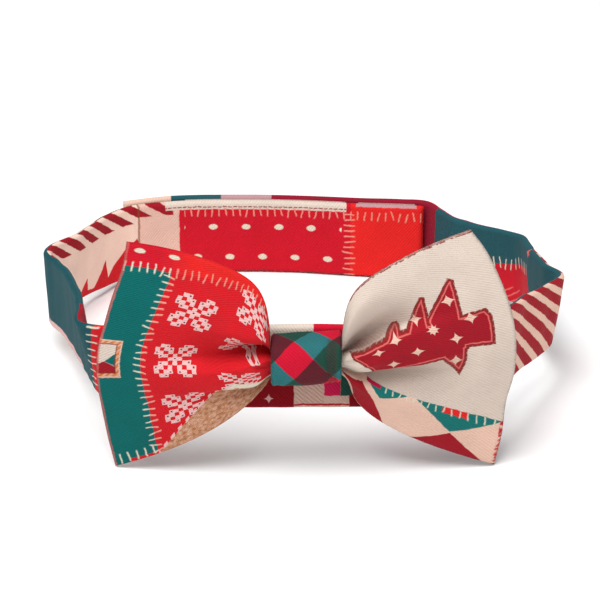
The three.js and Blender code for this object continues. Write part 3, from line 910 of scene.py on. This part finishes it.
bow["firPanel"] = {  # right print; places as in the left one
    "fir": [
        [(18.9, -4.8), (28.0, -3.6), (38.0, -1.6), (45.0, 1.0), (46.0, 11.5), (36.0, 11.6), (26.0, 11.4),
         (20.1, 10.5), (13.0, 8.9)],
        [(22.2, 9.4), (24.0, 3.0), (27.0, 3.0), (28.4, 12.4), (28.0, 14.0), (26.8, 14.0)],
        [(30.0, 11.0), (30.6, 2.0), (34.6, 2.0), (38.0, 20.2), (37.0, 20.6)],
        [(36.0, 12.0), (37.0, 2.0), (44.0, 2.0), (47.1, 22.8), (46.2, 23.8)],
        [(38.0, 1.8), (52.4, 1.2), (52.9, 9.5), (52.0, 11.9), (38.0, 10.9)],
        [(37.5, -1.0), (43.3, -7.5), (44.4, -2.5), (44.4, 6.0), (38.0, 6.0)],
    ],
    "innerLineInset": 0.8, "innerLine": (0.2, 0.2), "innerLineShade": 0.9,
    "outlineInset": 0.05, "outline": (0.34, 0.2), "outlineGaps": 0.6,
    "stars": [(43.6, 16.8), (47.5, 10.3), (36.9, 9.5), (42.2, 5.0), (33.2, 13.3), (26.4, 10.0),
              (20.9, 7.4), (31.2, 3.1), (41.5, -2.5), (24.4, -0.8)],
    "starReach": 2.1,
    "bigStar": (36.9, 9.5), "bigStarReach": 1.8, "bigStarTurn": 0.71,
    # painted shade above the upper fold and below the lower one
    "foldSlope": 0.2, "foldUpper": 6.3,
    "foldUpperShade": ((0.3, 1.0), (5.5, 9.0), (27.0, 22.0), 0.85),  # from, to, reach outward, strength
    "foldLower": -8.9, "foldLowerShade": ((0.5, 1.5), (12.0, 24.0), (40.0, 16.0), 0.45),
    "borderSlope": -0.21, "borderRise": -10.6,
    "greens": [[(46.1, -28.4), (58.5, -22.6), (34.2, -17.6)],
               [(24.6, -22.2), (32.2, -17.2), (18.2, -14.0)]],
    "reds": [[(36.4, -37.0), (57.6, -37.0), (46.4, -28.8)],
             [(10.0, -23.0), (19.0, -37.5), (32.4, -37.5), (17.4, -17.4)]],
    "scraps": [((42.4, 49.4), (0.0, 2.2), "brightRed"), ((18.5, 23.5), (0.0, 1.6), "magenta")],
    "seamDepth": 1.2, "seamFrom": 24,
    "upperHem": (35.6, 0.3), "upperFray": (0.47, 0.06),
    "sideHem": (57.5, 0.3), "sideHemBand": (-36, -23), "sideFray": (0.45, 0.08),
    "lowHem": (-35.3, 0.4), "lowHemEnd": 24.5,
    "starRelief": 0.3, "firRelief": 0.5, "firRim": (0.4, 0.6),
}


# painted shade, darkest just beside a fold
def paintedFoldShade(along, depth, start, end, reach, strength):
    return depth.above(*start) * depth.below(*end) * along.below(*reach) * strength


def rightPrint(along, across, cut):  # cream twill with a lying fir and a lozenge border, and painted shade beside two folds
    art = bow["firPanel"]
    fir = nearestOf([plate(along, across, corners) for corners in art["fir"]])
    colour = fir.below(0.0).choose("cream", "darkRed")
    innerLine = abs(fir + art["innerLineInset"]).below(*art["innerLine"])
    colour.cover(innerLine * art["innerLineShade"], "pink")
    outline = abs(fir + art["outlineInset"]).below(*art["outline"])
    gaps = art["outlineGaps"]
    dashed = dashes(along - across, pitch=1.5, share=0.75, soft=0.1) * (1 - gaps) + gaps
    colour.cover(outline * dashed, "rust")
    stars = sparkles(along, across, art["stars"], art["starReach"])
    right, up = art["bigStar"]
    turn = art["bigStarTurn"]
    falling = (along - right + across - up) * turn
    rising = (across - up - along + right) * turn
    stars = stars.most(sparkles(falling, rising, [(0, 0)], art["bigStarReach"]))
    colour.cover(stars, "peach")
    # painted shade in the fold dye on both sides of the folds
    over = across - (along * art["foldSlope"] + art["foldUpper"])
    under = along * art["foldSlope"] + art["foldLower"] - across
    colour.cover(paintedFoldShade(along, over, *art["foldUpperShade"]), "fold")
    colour.cover(paintedFoldShade(along, under, *art["foldLowerShade"]), "fold")
    depth = along * art["borderSlope"] + art["borderRise"] - across
    border = depth.above(0.0)
    colour.cover(border, "peach")
    green = nearestOf([plate(along, across, corners) for corners in art["greens"]])
    colour.cover(green.below(0.0) * border, "printTeal")
    red = nearestOf([plate(along, across, corners) for corners in art["reds"]])
    colour.cover(red.below(0.0), "darkRed")
    layScraps(colour, along, depth, art["scraps"])
    sewn = stitchRow(along, depth - art["seamDepth"], pitch=2.2, length=2.4, thread=0.38)
    sewn = sewn * along.above(art["seamFrom"]) * border
    colour.cover(sewn, "thread")
    fray = clouds(cut, scale=0.6, detail=2.0)
    upperHem = across.above(*art["upperHem"]) * fray.above(*art["upperFray"])
    colour.cover(upperHem, "rust")
    sideHem = along.above(*art["sideHem"]) * across.within(*art["sideHemBand"])
    colour.cover(sideHem * fray.above(*art["sideFray"]), "flapRed")
    lowHem = across.below(*art["lowHem"]) * along.below(art["lowHemEnd"])
    colour.cover(lowHem, "thread")
    inset, half = art["firRim"]
    relief = sewn * shared["threadRelief"] + stars * art["starRelief"]
    return colour, relief + abs(fir + inset).below(half) * art["firRelief"]


def buildBow():
    cloth, layer = newSheet(bow["cells"])
    for face in cloth.faces:
        middle = face.calc_center_median()
        face.material_index = 0 if (middle.x < 0) == (middle.y < 0) else 1  # lined with the other print
    even = bow["evenShare"]
    for vert in cloth.verts:
        run = vert.co.x
        ring = 1 - 2 * abs(vert.co.y)  # 1 at the upper hem of front and back, -1 at the lower one
        across = even * ring + (1 - even) * math.sin(math.pi / 2 * ring)
        place, out = bowPoint(run, across)
        tall = bow["waistTall"] + bow["wingGrowth"] * out
        hem = (1 - abs(across)) * tall / 2
        side = (1 - out) * bow["wingReach"]
        full = ease(min(hem, side) / bow["hemBlend"])
        thick = bow["hemThick"] + (bow["thick"] - bow["hemThick"]) * full
        swell = roundOff(hem, bow["hemRound"]) * roundOff(side, bow["hemRound"])
        front = vert.co.y < 0
        place.y += thick / 2 * (1 - swell if front else 1 + swell)
        place.z = max(0.0, place.z)
        if out == 0.0:
            far = bow["waistHalf"] * abs(run) / bow["waistShare"]
        else:
            far = bow["waistHalf"] + bow["printReach"][0] * out + bow["printReach"][1] * out * out
        vert[layer] = (far, bow["printHalf"] * across, 1.0 if front else bow["liningMark"])
        vert.co = toPart(place)
    left = clothMaterial("knitPanelPrint", leftPrint, bow["weave"])
    right = clothMaterial("firPanelPrint", rightPrint, bow["weave"])
    piece = finishPiece("bowCloth", cloth, [left, right], "bow")


buildBow()

# Wrap round the gathered middle
knot = {
    "width": 19.4,
    "thick": 1.5,
    "halfDepth": 6.2, "halfRise": 6.7,
    "squareness": 3,
    "centre": Vector((0, -4.3, 38.8)),
    "crown": 0.5,
    "edgeRound": 0.75,
    "cells": (180, 72),
    "girthSteps": 720,
    "creases": [(6.0, 0.5, 0.75), (7.5, 0.45, 0.6), (-8.2, 0.6, 0.3)],  # x, width, depth
    "creaseSway": 0.5,
    "dent": 0.14, "dentSize": 3.2, "dentTurns": 2.4,
    "innerMark": 30.0,
    "lozenge": (5.3, 5.6), "lozengeCentre": (-3.1, 3.0), "lozengeBlur": 0.02, "lozengeRelief": 0.4,
    # painted shade over the creases on the right of the knot
    "shadeAlong": (5.9, 8.6, 0.8), "shadeUp": (-7.5, 9.0, 2.0), "shadeStrength": 0.5,
    "weave": {"pitch": 0.7, "lean": 45.0, "twillTone": 0.12, "twillRelief": 0.6, "wander": 0.5,
              "sheen": 0.03, "depth": 0.84},
}


def loopPoint(angle, grow):  # a rounded square round the waist
    c, s = math.cos(angle), math.sin(angle)
    power = knot["squareness"]
    reach = (abs(c) ** power + abs(s) ** power) ** (-1 / power)
    return c * reach * (knot["halfDepth"] + grow), s * reach * (knot["halfRise"] + grow)


def knotPrint(along, across, cut):  # lozenges in four dyes, with painted shade over the creases on the right
    wide, high = knot["lozenge"]
    right = (along - knot["lozengeCentre"][0]) / wide
    up = (across - knot["lozengeCentre"][1]) / high
    rising = (right + up) * 0.5 + 0.5
    falling = (right - up) * 0.5 + 0.5
    oddRise = (rising * 0.5).maths("FRACT").above(0.5, knot["lozengeBlur"])
    oddFall = (falling * 0.5).maths("FRACT").above(0.5, knot["lozengeBlur"])
    colour = oddRise.choose("knotRed", "knotTeal")
    colour.cover(oddFall * (1 - oddRise), "maroon")
    colour.cover(oddFall * oddRise, "darkGreen")
    lines = abs(rising.maths("FRACT") - 0.5).least(abs(falling.maths("FRACT") - 0.5))
    # painted shade over the two creases on the right of the knot
    paintedShade = along.within(*knot["shadeAlong"]) * across.within(*knot["shadeUp"])
    colour.cover(paintedShade * knot["shadeStrength"], "shade")
    return colour, lines * knot["lozengeRelief"]


def buildKnot():
    steps = knot["girthSteps"]
    corners = [loopPoint(2 * math.pi * i / steps, 0.0) for i in range(steps + 1)]
    girth = [0.0]
    for a, b in zip(corners, corners[1:]):
        girth.append(girth[-1] + math.dist(a, b))
    cloth, layer = newSheet(knot["cells"])
    half = knot["width"] / 2
    deep = -knot["thick"] / 2
    for vert in cloth.verts:
        turn = (vert.co.x + 1) / 2
        angle = 2 * math.pi * turn
        outside = vert.co.y < 0
        x = (1 - 2 * abs(vert.co.y)) * half
        ahead = max(0.0, -math.cos(angle))
        swell = roundOff(half - abs(x), knot["edgeRound"])
        if outside:
            crown = knot["crown"] * ahead * (1 - (x / half) ** 2)
            swayed = x - knot["creaseSway"] * math.sin(angle * 2)
            fold = sum(d * math.exp(-((swayed - p) / w) ** 2) for p, w, d in knot["creases"])
            far = knot["dentTurns"]
            soft = noise.noise((x / knot["dentSize"], math.cos(angle) * far, math.sin(angle) * far))
            grow = deep + (-deep + crown - fold * ahead + knot["dent"] * soft) * swell
        else:
            grow = deep + deep * swell
        y, z = loopPoint(angle, grow)
        place = knot["centre"] + Vector((x, y, z + x * bow["waistRoll"]))
        up = girth[steps // 2] - girth[round(turn * steps)]
        vert[layer] = (x, up, 0.0 if outside else knot["innerMark"])
        vert.co = toPart(place)
    material = clothMaterial("lozengePrint", knotPrint, knot["weave"])
    piece = finishPiece("knotCloth", cloth, [material], "knot_wrap")


buildKnot()
